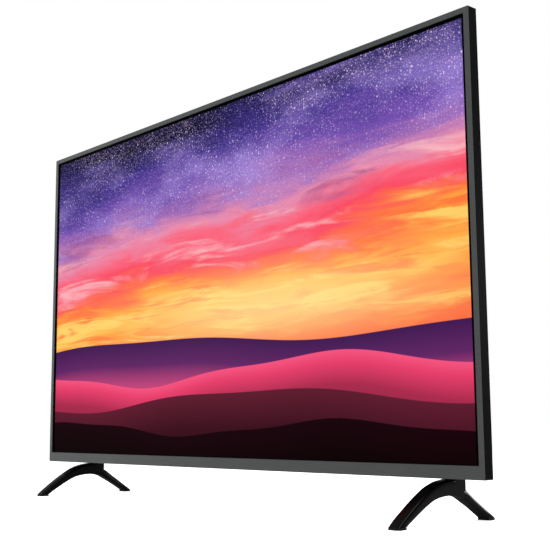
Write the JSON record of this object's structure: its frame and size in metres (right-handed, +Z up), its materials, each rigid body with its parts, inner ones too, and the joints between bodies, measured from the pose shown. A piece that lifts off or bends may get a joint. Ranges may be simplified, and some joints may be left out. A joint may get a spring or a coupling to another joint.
{
  "type": "television",
  "caption": "Flat screen television with a thin dark bezel, arched screw-on feet, a stepped rear cover with socket recesses, wall-mount posts and a backlit panel inside.",
  "frame": {"origin": "bottom centre of the bounding box: the floor under the feet", "axes": "+X across the screen to the right of a viewer who faces it, +Y to the back, +Z up"},
  "size_m": [0.967, 0.1824, 0.6133],
  "materials": {
    "bezel_plastic": "satin",
    "soft_gasket": "matte",
    "display_glass": "gloss",
    "green_board": "satin",
    "amber_film": "gloss",
    "white_plastic": "satin",
    "clear_film": "gloss",
    "diffuser_white": "satin",
    "zinc_steel": "satin",
    "black_plastic": "satin",
    "gloss_black": "gloss",
    "dark_window": "gloss",
    "rubber_black": "matte",
    "chip_black": "matte",
    "bare_aluminium": "satin",
    "nickel_shell": "satin",
    "paper_cone": "matte",
    "ferrite": "matte",
    "wire_sleeve": "satin",
    "winding_tape": "satin",
    "brass_insert": "satin",
    "black_screw": "satin"
  },
  "bodies": {
    "cabinet": {"front_bezel": "bezel_plastic", "bezel_gasket": "soft_gasket", "lcd_cell": "display_glass", "drive_boards": "green_board", "drive_films": "amber_film", "middle_frame": "black_plastic", "brightness_film": "clear_film", "prism_film": "clear_film", "diffuser_plate": "diffuser_white", "rear_chassis": "zinc_steel", "led_bars": "bare_aluminium", "led_lenses": "diffuser_white", "reflector_sheet": "white_plastic", "diffuser_pins": "white_plastic", "main_board": "green_board", "power_board": "green_board", "timing_board": "green_board", "board_insulator": "chip_black", "main_board_chips": "chip_black", "main_heatsink": "bare_aluminium", "power_transformers": "winding_tape", "power_capacitors": "chip_black", "power_heatsinks": "bare_aluminium", "radio_module": "nickel_shell", "hdmi_ports": "nickel_shell", "usb_ports": "nickel_shell", "audio_jack": "chip_black", "lan_port": "chip_black", "tuner": "nickel_shell", "terminal_plate": "black_plastic", "ac_inlet": "chip_black", "ac_inlet_pins": "nickel_shell", "timing_ribbons": "white_plastic", "power_harness": "wire_sleeve", "led_harness": "wire_sleeve", "speaker_wires": "wire_sleeve", "right_speaker_box": "black_plastic", "left_speaker_box": "black_plastic", "speaker_baskets": "black_screw", "speaker_magnets": "ferrite", "right_speaker_surround": "rubber_black", "left_speaker_surround": "rubber_black", "speaker_grommets": "rubber_black", "receiver_window": "dark_window", "receiver_board": "green_board", "button_board": "green_board", "board_screws": "zinc_steel", "cover_posts": "bare_aluminium", "rear_cover_screws": "black_screw", "wall_mount_posts": "brass_insert", "right_foot": "gloss_black", "left_foot": "gloss_black", "foot_pads": "rubber_black", "foot_brackets": "zinc_steel", "foot_screws": "black_screw", "rear_cover": "black_plastic"},
    "power_key": {"power_button": "gloss_black", "switch_plunger": "chip_black"},
    "right_cone": {"right_speaker_cone": "paper_cone"},
    "left_cone": {"left_speaker_cone": "paper_cone"}
  },
  "joints": [
    {"name": "power_press", "type": "slide", "parent": "cabinet", "child": "power_key", "axis": [0, 0, 1], "range_m": [0, 0.0006], "stiffness_N_per_m": 900, "springref_m": -0.0004},
    {"name": "right_cone_stroke", "type": "slide", "parent": "cabinet", "child": "right_cone", "axis": [0, 0, 1], "range_m": [-0.0007, 0.0007], "stiffness_N_per_m": 1500, "deforming": ["right_speaker_surround"]},
    {"name": "left_cone_stroke", "type": "slide", "parent": "cabinet", "child": "left_cone", "axis": [0, 0, 1], "range_m": [-0.0007, 0.0007], "stiffness_N_per_m": 1500, "deforming": ["left_speaker_surround"]}
  ]
}
